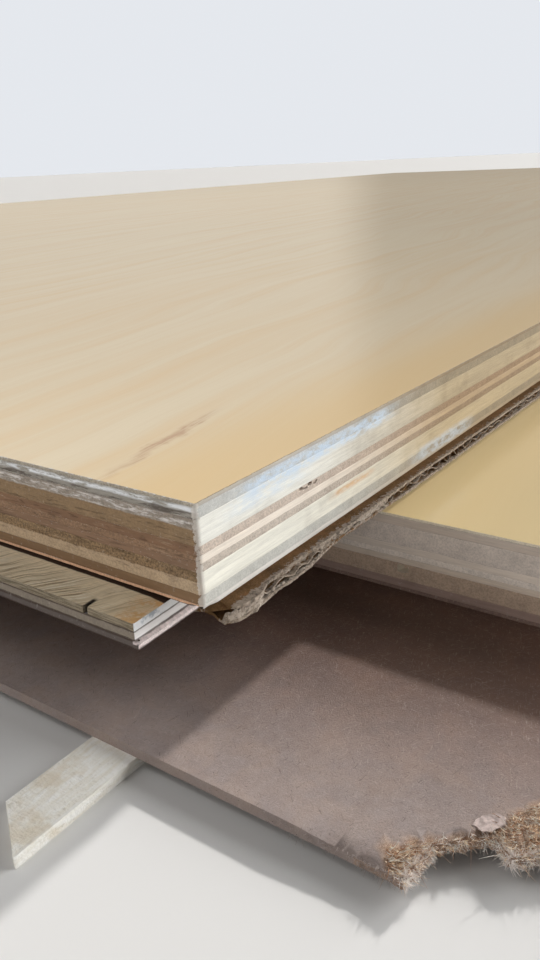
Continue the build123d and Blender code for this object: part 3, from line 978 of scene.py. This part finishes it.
def fluting(material):
    """The wavy paper between the liners, over the whole length of the board."""
    low, high = near_box("card_upper_liner")
    bottom = near_box("card_lower_liner")[1][2]
    top = high[2] - PAPER
    steps_per_wave = 12
    x = np.arange(low[0], high[0], FLUTE_PITCH / steps_per_wave)
    # The flutes are crushed in places, and slide a little along the sheet
    crush = 1 - 0.62 * ramp_up(noise_along(x * 0.06, 2, 81), -0.35, 0.35)
    slide = 1.5 * noise_along(x * 0.11, 2, 83)
    wave = -np.cos(2 * math.pi * (x - low[0] + slide) / FLUTE_PITCH)
    middle = (bottom + top) / 2
    height = (top - bottom - PAPER) / 2 * wave
    torn_back = np.interp(x - low[0], [0, 1.2, 2.2, 3.5], [9, 3.5, 0.8, 0])
    rows = [0.0, 0.8, 2.5, 8.0, 40.0, 400.0, high[1] - low[1]]
    points, faces = [], []
    for row, y in enumerate(rows):
        squash = crush if row < 2 else 1 - (1 - crush) * (0.5 if row == 2 else 0.1)
        rumple = 0.16 * noise_along(x * 0.9, 3, 87, row) * (row < 3)
        ragged = 0.5 * noise_along(x * 0.5, 3, 85) if row == 0 else 0
        bulge = np.interp(x, *LOWER_OUTLINE) * (1 - min(1.0, y / 8.0))
        edge_y = low[1] + np.maximum(y, torn_back + 0.1 * row) + ragged + 0.25 - bulge
        if row == len(rows) - 1:
            edge_y = np.full(len(x), low[1] + y)
        for side in (-0.5, 0.5):
            z = middle + height * squash + rumple * squash + side * PAPER * 0.8
            z = np.clip(z, bottom + (0.0 if side < 0 else 0.1), top - (0.1 if side < 0 else 0.0))
            points.append(np.column_stack([x, np.broadcast_to(edge_y, x.shape), z - sag(x)]))
    count = len(x)
    points = np.vstack(points)

    def at(row, side, i):
        return (row * 2 + side) * count + i

    for row in range(len(rows) - 1):
        for i in range(count - 1):
            upper = (at(row, 1, i), at(row, 1, i + 1), at(row + 1, 1, i + 1), at(row + 1, 1, i))
            lower = (at(row, 0, i), at(row + 1, 0, i), at(row + 1, 0, i + 1), at(row, 0, i + 1))
            faces += [upper, lower]
        for i, turn in ((0, False), (count - 1, True)):
            quad = (at(row, 0, i), at(row, 1, i), at(row + 1, 1, i), at(row + 1, 0, i))
            faces.append(tuple(reversed(quad)) if turn else quad)
    for row, turn in ((0, False), (len(rows) - 1, True)):
        for i in range(count - 1):
            quad = (at(row, 0, i), at(row, 0, i + 1), at(row, 1, i + 1), at(row, 1, i))
            faces.append(tuple(reversed(quad)) if turn else quad)
    piece = make_piece("card_fluting_look", points, faces, material, 60)
    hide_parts("card_fluting", "card_plain_core")


# Across a ridge of pulp: how deep it stands behind the edge and how tall it is, as shares
PULP_SHAPE = ((0.0, 0.0), (0.05, 0.45), (0.12, 1.0), (0.42, 0.92), (0.55, 0.0))


def crushed_pulp():
    """Ragged paper pulp that stands up from the lower liner's torn edge and hangs from the
    upper one, where the flutes were crushed."""
    low, high = near_box("card_upper_liner")
    bottom = near_box("card_lower_liner")[1][2]
    top = high[2] - PAPER
    gap = top - bottom
    points, faces = [], []
    for index, (start, end, seed) in enumerate(((8.75, 75.0, 141), (10.9, 75.0, 151))):
        x = np.arange(start, end, 0.22)
        grown = ramp_up(noise_along(x * 0.16, 3, seed), -0.25, 0.45)
        grown = np.maximum(grown, ramp_up(18.5 - x, 0, 3))
        fray = noise_along(x * 1.6, 2, seed + 2)
        tall = gap * np.clip(0.16 + (0.66 - 0.25 * index) * grown + 0.14 * fray, 0.08, 0.9)
        fade = ramp_up(x, start - 0.4, start + 0.5) * ramp_up(-x, -end, -end + 12.0)
        tall = tall * fade + 0.02
        base = sum(len(p) for p in points)
        drift = 0.30 * noise_along(x * 0.3, 2, seed + 6)
        rows = []
        for k, (depth, part) in enumerate(PULP_SHAPE):
            rough = 0.22 * noise_along(x * 1.3, 3, seed + 4, k)
            y = low[1] + 0.15 + 1.3 * depth + rough + drift
            y = y - np.interp(x, *(UPPER_OUTLINE if index else LOWER_OUTLINE))
            z = bottom + tall * part if index == 0 else top - tall * part
            rows.append(np.column_stack([x, y, z - sag(x)]))
        count = len(x)
        points.append(np.vstack(rows))
        for k in range(len(PULP_SHAPE)):
            after = (k + 1) % len(PULP_SHAPE)
            for i in range(count - 1):
                quad = (base + k * count + i, base + k * count + i + 1,
                        base + after * count + i + 1, base + after * count + i)
                faces.append(quad if index == 0 else tuple(reversed(quad)))
        for i, turn in ((0, True), (count - 1, False)):
            ring = tuple(base + k * count + i for k in range(len(PULP_SHAPE)))
            flip = turn == (index == 0)
            faces.append(tuple(reversed(ring)) if flip else ring)
    make_piece(
        "card_pulp", np.vstack(points), faces,
        card_material("torn_pulp", (0.30, 0.235, 0.175), (0.50, 0.42, 0.34)), 60,
    )


kraft_paper = card_material("kraft_paper")
liners(kraft_paper)
fluting(kraft_paper)
crushed_pulp()


# Hardboard with its broken corner. The break's points are the same as in the solid,
# in millimetres from the sheet's full corner.

BREAK_LINE = (
    (0, 47.6), (2.3, 47.5), (4.4, 47.3), (7.2, 46.8), (9, 45.7), (10.3, 44), (12, 42.4),
    (12.9, 41.3), (13.2, 39.5), (12.3, 38.2), (11.2, 36.8), (12.5, 35.4), (14.3, 33.9),
    (18, 28), (17.2, 21), (22, 14), (24, 7), (30, 0),
)
# Where the hard face ends and the torn fibre begins
TORN_LINE = (
    (-1.0, 49.2), (0.6, 50.4), (1.6, 52.0), (2.6, 52.6), (3.7, 52.2), (5.1, 50.8), (7.5, 48.8),
    (9.5, 46.7), (11.7, 44.6), (13.2, 43.0), (14.9, 41.4), (17.3, 40.4), (19.6, 39.5),
    (23.7, 37.2), (26, 32), (29, 24), (32, 14), (35, 6), (38, -1),
)


def broken_ring(low, high):
    """The hardboard's outline, and its broken stretch, with outward directions."""
    line = np.array(BREAK_LINE, float) + low[:2]
    stretch = []
    for a, b in zip(line[:-1], line[1:]):
        count = max(2, int(np.hypot(*(b - a)) / 0.3))
        for t in np.linspace(0, 1, count, endpoint=False):
            stretch.append((*(a + (b - a) * t), *(a - b)[::-1] * (-1, 1)))
    broken = np.array(stretch, float)
    broken[:, 2:4] /= np.hypot(broken[:, 2], broken[:, 3])[:, None]
    right = spaced(high[0] - line[-1][0], 0.8, 0.03)
    near = spaced(high[1] - line[0][1], 0.4, 0.012)
    ring = np.vstack([
        broken,
        [(line[-1][0] + s, low[1], 0, -1) for s in right],
        [(high[0], low[1] + s, 1, 0) for s in np.linspace(0, high[1] - low[1], 22)[1:]],
        [(high[0] - s, high[1], 0, 1) for s in np.linspace(0, high[0] - low[0], 42)[1:]],
        [(low[0], line[0][1] + s, -1, 0) for s in near[-2:0:-1]],
    ])
    return ring, broken


def hardboard():
    """The sheet with its broken corner. Fibres take the break and the torn band from it."""
    low, high = near_box("hardboard_sheet")
    ring, broken = broken_ring(low, high)
    along_break = broken[:, :2]

    def from_break(x, y):
        """Distance to the break line."""
        best = np.full(len(x), 1e9)
        for px, py in along_break[::3]:
            best = np.minimum(best, np.hypot(x - px, y - py))
        return best

    torn_line = np.array(TORN_LINE, float) + low[:2]
    beyond_corner = np.array(((50, -20), (-20, -20), (-20, 49.2))) + low[:2]
    torn_area = np.vstack([torn_line, beyond_corner])
    dots = []
    for a, b in zip(torn_line[:-1], torn_line[1:]):
        dots += [a + (b - a) * t for t in np.linspace(0, 1, 8, endpoint=False)]
    dots = np.array(dots)

    def torn_inside(x, y):
        """Distance into the torn area, negative outside it."""
        gap = np.hypot(x[:, None] - dots[None, :, 0], y[:, None] - dots[None, :, 1]).min(axis=1)
        return np.where(inside(np.column_stack([x, y]), torn_area), gap, -gap)

    def push(x, y, z):
        close = ramp_up(2.0 - from_break(x, y), 0, 1.5)
        ragged = rough_noise(x * 0.9, y * 0.9, z * 0.7, 4, 91) * 1.1
        slope = (low[2] + 1.4 - z) * 0.25
        edge = 0.05 * rough_noise(x, y, z, 2, 93)
        return close * (ragged + slope) + (1 - close) * edge

    # Inner points lie close together near the break, where the face is torn
    rng = np.random.default_rng(RANDOM_SEED)
    spots = []
    for px, py in along_break:
        for _ in range(9):
            reach = rng.uniform(0.4, 12.0)
            angle = rng.uniform(0, 2 * math.pi)
            spots.append((px + reach * math.cos(angle), py + reach * math.sin(angle)))
    spots = np.array(spots)
    spots = spots[inside(spots, ring[:, :2])]
    spots = spots[from_break(spots[:, 0], spots[:, 1]) > 0.9]
    torn_values = {}
    # Places all over the torn band, from which fibres can grow
    tries = 90000
    roots = np.array(low[:2]) + rng.uniform((-2, 0), (40, 58), (tries, 2))
    roots = roots[inside(roots, ring[:, :2])]
    roots = roots[torn_inside(roots[:, 0], roots[:, 1]) > 0.1]

    def lift(points):
        away = from_break(points[:, 0], points[:, 1])
        wander = noise_over(points, 0.8, 3, 95)
        torn = ramp_up(torn_inside(points[:, 0], points[:, 1]) + 0.9 * wander, -0.1, 0.35)
        on_top = points[:, 2] > high[2] - 0.05
        tufts = noise_over(points, 1.3, 3, 97)
        drop = 0.28 + 0.55 * ramp_up(3.0 - away, 0, 2.6) + 0.35 * np.maximum(0, tufts)
        points[:, 2] -= on_top * torn * drop
        # The near arris is crushed round beside the tip
        along = points[:, 1] - low[1]
        at_edge = ramp_up(1.5 - (points[:, 0] - low[0]), 0, 1.5)
        crushed = at_edge * ramp_up(68 - along, 0, 16) * (along > 47)
        high_part = np.clip((points[:, 2] - low[2]) / 2.0, 0, 1) ** 2
        points[:, 2] -= crushed * high_part * (0.75 + 0.3 * tufts)
        beside_tip = 0.5 * (crushed > 0.9) * ramp_up(62 - along, 0, 8)
        below = np.maximum(ramp_up(1.2 - away, 0, 0.8), beside_tip) * (~on_top)
        torn_values["torn"] = np.maximum(torn * on_top, below)
        return points

    heights = np.linspace(low[2], high[2], 9)
    points, faces = plate(ring, heights, push, inner=spots, lift=lift)
    material = hardboard_material("hardboard_fibre")
    piece = make_piece("hardboard_look", points, faces, material, 70)
    attribute = piece.data.attributes.new("torn", "FLOAT", "POINT")
    attribute.data.foreach_set("value", torn_values["torn"].astype(np.float32))
    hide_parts("hardboard_sheet")
    return broken, roots


broken_edge, torn_roots = hardboard()


# Spacer strips

def spacer_strips():
    """Three rough strips, one behind the other, with their near ends cut askew."""
    low, high = near_box("spacer_strips")
    points, faces = [], []
    width, pitch, skew = 10.6, 508.0, 7.0
    for row in range(3):
        y = low[1] + row * pitch
        box_low = np.array((low[0], y, low[2]))
        box_high = np.array((high[0], y + width, high[2]))
        ring = rectangle_ring(box_low, box_high, STRIP_STEPS, 0.4)
        lean = np.clip((ring[:, 1] - y) / width, 0, 1) * skew
        ring[:, 0] += lean * ramp_up(30.0 - (ring[:, 0] - low[0]), 0, 30.0)
        push = veneer_push("X", 101 + row, 1.3, box_low, (low[2], high[2]))
        new_points, new_faces = plate(ring, np.linspace(low[2], high[2], 8), push)
        start = sum(len(p) for p in points)
        points.append(new_points)
        faces += [tuple(v + start for v in face) for face in new_faces]
    wood = sawn_material("sawn_softwood")
    piece = make_piece("spacer_strips_look", np.vstack(points), faces, wood)
    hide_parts("spacer_strips")


spacer_strips()


# Loose fibres

def hairs(name, roots, directions, lengths, radius, curl, material, seed):
    """Tapered bent fibres, each a closed three-sided tube, joined in one piece."""
    rng = np.random.default_rng(seed)
    count, stations = len(roots), 5
    roots = np.asarray(roots, float)
    directions = np.asarray(directions, float)
    directions = directions / np.linalg.norm(directions, axis=1)[:, None]
    helper = np.where(np.abs(directions[:, 2:3]) < 0.8, [[0, 0, 1.0]], [[1.0, 0, 0]])
    side = np.cross(directions, helper)
    side /= np.linalg.norm(side, axis=1)[:, None]
    other = np.cross(directions, side)
    bend = rng.uniform(-curl, curl, (count, 2))
    radii = radius * rng.uniform(0.6, 1.4, count)
    points, faces = [], []
    for k in range(stations):
        t = k / (stations - 1)
        centre = roots + directions * (lengths * t)[:, None]
        centre += (side * bend[:, :1] + other * bend[:, 1:]) * (lengths * t * t)[:, None]
        size = radii * (1 - 0.75 * t)
        for corner_index in range(3):
            angle = corner_index * 2 * math.pi / 3
            around = side * math.cos(angle) + other * math.sin(angle)
            points.append(centre + around * size[:, None])
    stacked = np.stack(points, axis=1).reshape(-1, 3)
    above_floor = near_box("spacer_strips")[0][2] + 0.02
    stacked[:, 2] = np.maximum(stacked[:, 2], above_floor)
    for start in range(0, count * stations * 3, stations * 3):
        last = start + 3 * (stations - 1)
        faces += walls(start, 3, stations)
        faces += [(start + 2, start + 1, start), (last, last + 1, last + 2)]
    return make_piece(name, stacked, faces, material, 80)


def outward(places):
    """The break's outward direction nearest to each place, and how far away the break is."""
    edge = broken_edge[::4]
    gaps = np.hypot(*(places[:, None, axis] - edge[None, :, axis] for axis in (0, 1)))
    return edge[gaps.argmin(axis=1), 2:4], gaps.min(axis=1)


def turned(directions, spread, rise, rise_spread, rng):
    """Flat directions turned at random and raised."""
    turn = rng.normal(0, spread, len(directions))
    return np.column_stack([
        directions[:, 0] * np.cos(turn) - directions[:, 1] * np.sin(turn),
        directions[:, 0] * np.sin(turn) + directions[:, 1] * np.cos(turn),
        rng.normal(rise, rise_spread, len(directions)),
    ])


def break_fibres():
    """Fibres that stand all over the torn band, and paler ones along the broken rim."""
    rng = np.random.default_rng(RANDOM_SEED + 1)
    low, high = near_box("hardboard_sheet")
    # Golden fibres, most of them near the open end of the break
    weight = np.where(torn_roots[:, 1] > low[1] + 28, 1.0, 0.25)
    pick = torn_roots[rng.choice(len(torn_roots), 6400, replace=False, p=weight / weight.sum())]
    flat, gap = outward(pick)
    height = high[2] - 0.45 - 0.5 * ramp_up(3.0 - gap, 0, 2.6)
    roots = np.column_stack([pick, height + rng.uniform(-0.1, 0.15, len(pick))])
    directions = turned(flat, 0.38, 0.22, 0.18, rng)
    lengths = rng.gamma(5.0, 0.26, len(pick))
    shades = ((0.84, 0.61, 0.455), (0.93, 0.79, 0.68), (0.46, 0.265, 0.16))
    kind = rng.choice(3, len(pick), p=(0.45, 0.35, 0.20))
    for index, tone in enumerate(shades):
        part = kind == index
        hairs(
            f"torn_fibres_{index + 1}", roots[part], directions[part], lengths[part], 0.075, 0.7,
            fibre_material(f"raw_fibre_{index + 1}", tone), RANDOM_SEED + 20 + index,
        )
    # Pale fluff along the rim, thickest at the tip and on the lobe beside the bay
    across = broken_edge[:, 1] - low[1]
    weight = np.exp(-((across - 47.4) / 1.6) ** 2) * (broken_edge[:, 0] < low[0] + 6) * 3.0
    weight += np.exp(-((across - 36.0) / 2.6) ** 2) * 3.0 + 0.5
    weight *= np.where(across > 24, 1.0, 0.2)
    base = broken_edge[rng.choice(len(broken_edge), 3600, p=weight / weight.sum())]
    inward = rng.uniform(-0.35, 0.9, len(base))
    height = rng.uniform(low[2] + 0.15, high[2] - 0.5, len(base))
    height = np.where(inward > 0.3, high[2] - 0.75, height)
    roots = np.column_stack([base[:, :2] - base[:, 2:4] * inward[:, None], height])
    directions = turned(base[:, 2:4], 0.9, 0.1, 0.45, rng)
    lengths = np.minimum(rng.gamma(3.4, 0.19, len(base)), 0.95)
    hairs(
        "rim_fibres", roots, directions, lengths, 0.075, 1.3,
        fibre_material("pale_fluff", (0.92, 0.84, 0.79), 0.12), RANDOM_SEED + 5,
    )
    # Frayed near edge beside the tip, and a few long stray hairs
    count = 420
    along = low[1] + 47.5 + rng.gamma(1.4, 5.5, count)
    roots = np.column_stack([
        np.full(count, low[0] + 0.1), along, rng.uniform(low[2] + 0.1, high[2] - 0.25, count),
    ])
    directions = turned(np.tile((-1.0, 0.0), (count, 1)), 0.9, -0.1, 0.4, rng)
    hairs(
        "near_edge_fibres", roots, directions, rng.gamma(2.2, 0.24, count), 0.045, 0.7,
        fibre_material("edge_fluff", (0.42, 0.36, 0.33), 0.3), RANDOM_SEED + 6,
    )
    stray = torn_roots[rng.choice(len(torn_roots), 18)]
    flat, gap = outward(stray)
    roots = np.column_stack([stray, np.full(len(stray), high[2] - 0.4)])
    directions = turned(flat, 1.6, 0.25, 0.2, rng)
    hairs(
        "stray_hairs", roots, directions, rng.uniform(1.4, 2.6, len(stray)), 0.03, 1.0,
        fibre_material("stray_fibre", (0.78, 0.68, 0.58), 0.15), RANDOM_SEED + 7,
    )


def skin_flake():
    """A loose flake of the hard face that lies on the torn fibres."""
    low, high = near_box("hardboard_sheet")
    middle = np.array((15.4, 41.6)) + low[:2]
    along = np.array((0.80, -0.60))
    across = np.array((0.60, 0.80))
    angle = 2 * math.pi * np.arange(72) / 72
    wobble = 1 + 0.42 * rough_noise(
        np.cos(angle) * 1.6, np.sin(angle) * 1.6, np.full(len(angle), 0.5), 3, 171
    )
    outline = np.outer(np.cos(angle) * 2.5 * wobble, along)
    outline += np.outer(np.sin(angle) * 1.5 * wobble, across)
    out = outline / np.linalg.norm(outline, axis=1)[:, None]
    ring = np.hstack([middle + outline, out])
    rng = np.random.default_rng(RANDOM_SEED + 9)
    spots = middle + np.array([
        along * u * 2.3 + across * v * 1.35
        for u, v in rng.uniform(-1, 1, (220, 2)) if u * u + v * v < 0.72
    ])

    def lift(points):
        hump = 0.14 * noise_over(points, 0.7, 3, 173) + 0.06 * noise_over(points, 3, 2, 175)
        points[:, 2] += hump + 0.12
        return points

    def push(x, y, z):
        return 0.35 * rough_noise(x * 1.6, y * 1.6, z, 3, 177)

    points, faces = plate(ring, (high[2] - 0.22, high[2] - 0.02), push, inner=spots, lift=lift)
    make_piece(
        "skin_flake", points, faces,
        fibre_material("pale_skin", (0.46, 0.375, 0.345), 0.2), 60,
    )


def corner_fibres():
    """Short pale fuzz on the top sheet's worn upright arris."""
    rng = np.random.default_rng(RANDOM_SEED + 3)
    count = 110
    z = rng.uniform(-17.6, -2.4, count)
    angle = rng.uniform(math.pi, 1.5 * math.pi, count)
    roots = np.column_stack([
        CORNER_WEAR + (CORNER_WEAR - 0.1) * np.cos(angle),
        CORNER_WEAR + (CORNER_WEAR - 0.1) * np.sin(angle),
        z,
    ])
    directions = np.column_stack([
        np.cos(angle) + rng.normal(0, 0.5, count),
        np.sin(angle) + rng.normal(0, 0.5, count),
        rng.normal(0, 0.9, count),
    ])
    lengths = rng.gamma(2.0, 0.13, count)
    hairs(
        "corner_fibres", roots, directions, lengths, 0.045, 0.6,
        fibre_material("pale_fuzz", (0.78, 0.68, 0.60)), RANDOM_SEED + 4,
    )


def card_fibres():
    """Short grey fuzz along the corrugated board's torn edges."""
    rng = np.random.default_rng(RANDOM_SEED + 10)
    low, high = near_box("card_upper_liner")
    # The lower liner's box reaches down to where the board hangs lowest
    bottom = near_box("card_lower_liner")[0][2] + SAG
    count = 700
    x = low[0] + 4.5 + rng.gamma(1.3, 24.0, count)
    level = np.where(rng.random(count) < 0.55, bottom + PAPER / 2, high[2] - PAPER / 2)
    y = low[1] + rng.uniform(0.1, 0.9, count) - np.interp(x, *LOWER_OUTLINE)
    z = level + rng.uniform(-0.12, 0.12, count) - sag(x)
    roots = np.column_stack([x, y, z])
    directions = turned(np.tile((0.0, -1.0), (count, 1)), 1.1, 0.0, 0.7, rng)
    hairs(
        "card_fibres", roots, directions, rng.gamma(2.2, 0.11, count), 0.05, 0.9,
        fibre_material("paper_fuzz", (0.42, 0.345, 0.27), 0.35), RANDOM_SEED + 11,
    )


break_fibres()
skin_flake()
corner_fibres()
card_fibres()


# Floor, light and camera

def floor():
    """A pale matt floor under the stack."""
    mesh = bpy.data.meshes.new("floor")
    corners = [(x * FLOOR_HALF, y * FLOOR_HALF, 0) for x, y in ((-1, -1), (1, -1), (1, 1), (-1, 1))]
    mesh.from_pydata(corners, [], [(0, 1, 2, 3)])
    mesh.materials.append(Shading("pale_floor").finish((0.72, 0.71, 0.69), 0.9))
    new_object("floor", mesh)


def surroundings():
    """A room that lights the stack faintly. The camera and reflections see it brighter."""
    world = bpy.data.worlds.new("studio")
    bpy.context.scene.world = world
    world.use_nodes = True
    s = Nodes(world.node_tree)
    rays = s.make("LightPath", {})
    camera_ray, glossy_ray = rays["Is Camera Ray"], rays["Is Glossy Ray"]
    tint = s.mix(glossy_ray, (0.92, 0.95, 1.0), (1.0, 0.90, 0.76))
    # Reflections see a soft pane of light to the left and a dimmer room to the right
    to_left = (-math.sin(PANE_SIDE), math.cos(PANE_SIDE), 0)
    leftness = s.vector("DOT_PRODUCT", s.make("TexCoord", {})["Generated"], to_left)
    pane = s.span(leftness, -0.05, 0.03, 0.30, 0.62)
    seen = s.blend(camera_ray, pane, 0.85)
    background = s.tree.nodes["Background"]
    s.put(background.inputs["Color"], tint)
    strength = s.blend(s.math("MAXIMUM", camera_ray, glossy_ray), 0.10, seen)
    s.put(background.inputs["Strength"], strength)


def light(name, kind, power, towards):
    """A lamp that shines from the side that towards points to."""
    holder = new_object(name, bpy.data.lights.new(name, kind))
    holder.data.energy = power
    holder.rotation_mode = "QUATERNION"
    holder.rotation_quaternion = Vector(towards).to_track_quat("Z", "Y")
    return holder


def sun(name, towards, strength, angle, colour):
    """Light from far away. Its angle in degrees says how soft its shadows are."""
    holder = light(name, "SUN", strength, towards)
    holder.data.angle = math.radians(angle)
    holder.data.color = colour


def lamp(name, place, target, power, size):
    """A small soft lamp close to the near end, placed in millimetres."""
    holder = light(name, "AREA", power, Vector(place) - Vector(target))
    holder.data.size = size * MM
    holder.location = corner + Vector(place) * MM


def camera():
    """The photograph's camera."""
    data = bpy.data.cameras.new("camera")
    data.lens = CAMERA_LENS
    data.sensor_width = CAMERA_SENSOR
    data.clip_start = 0.005
    data.clip_end = 200
    forward = Vector((
        math.cos(CAMERA_YAW) * math.cos(CAMERA_PITCH),
        math.sin(CAMERA_YAW) * math.cos(CAMERA_PITCH),
        -math.sin(CAMERA_PITCH),
    ))
    level = Vector((math.sin(CAMERA_YAW), -math.cos(CAMERA_YAW), 0))
    down = forward.cross(level)
    right = level * math.cos(CAMERA_ROLL) + down * math.sin(CAMERA_ROLL)
    up = level * math.sin(CAMERA_ROLL) - down * math.cos(CAMERA_ROLL)
    turn = Matrix((right, up, -forward)).transposed()
    lens = new_object("camera", data)
    lens.matrix_world = Matrix.Translation(corner + CAMERA_PLACE * MM) @ turn.to_4x4()
    bpy.context.scene.camera = lens


floor()
surroundings()
sun("key", (1.64, -0.21, 1.0), 2.6, 3, (1.0, 0.98, 0.96))
sun("window", (1.0, -0.9, 0.42), 3.5, 50, (0.98, 0.99, 1.0))
sun("left_fill", (-0.75, 1.0, 0.5), 0.8, 60, (1.0, 0.97, 0.96))
sun("front_fill", (-1.0, -0.25, 0.12), 0.5, 30, (1.0, 0.97, 0.93))
lamp("left_lamp", (-60, 60, 90), (-20, 25, -40), 0.027, 50)
camera()
bpy.context.scene.view_settings.view_transform = "Standard"
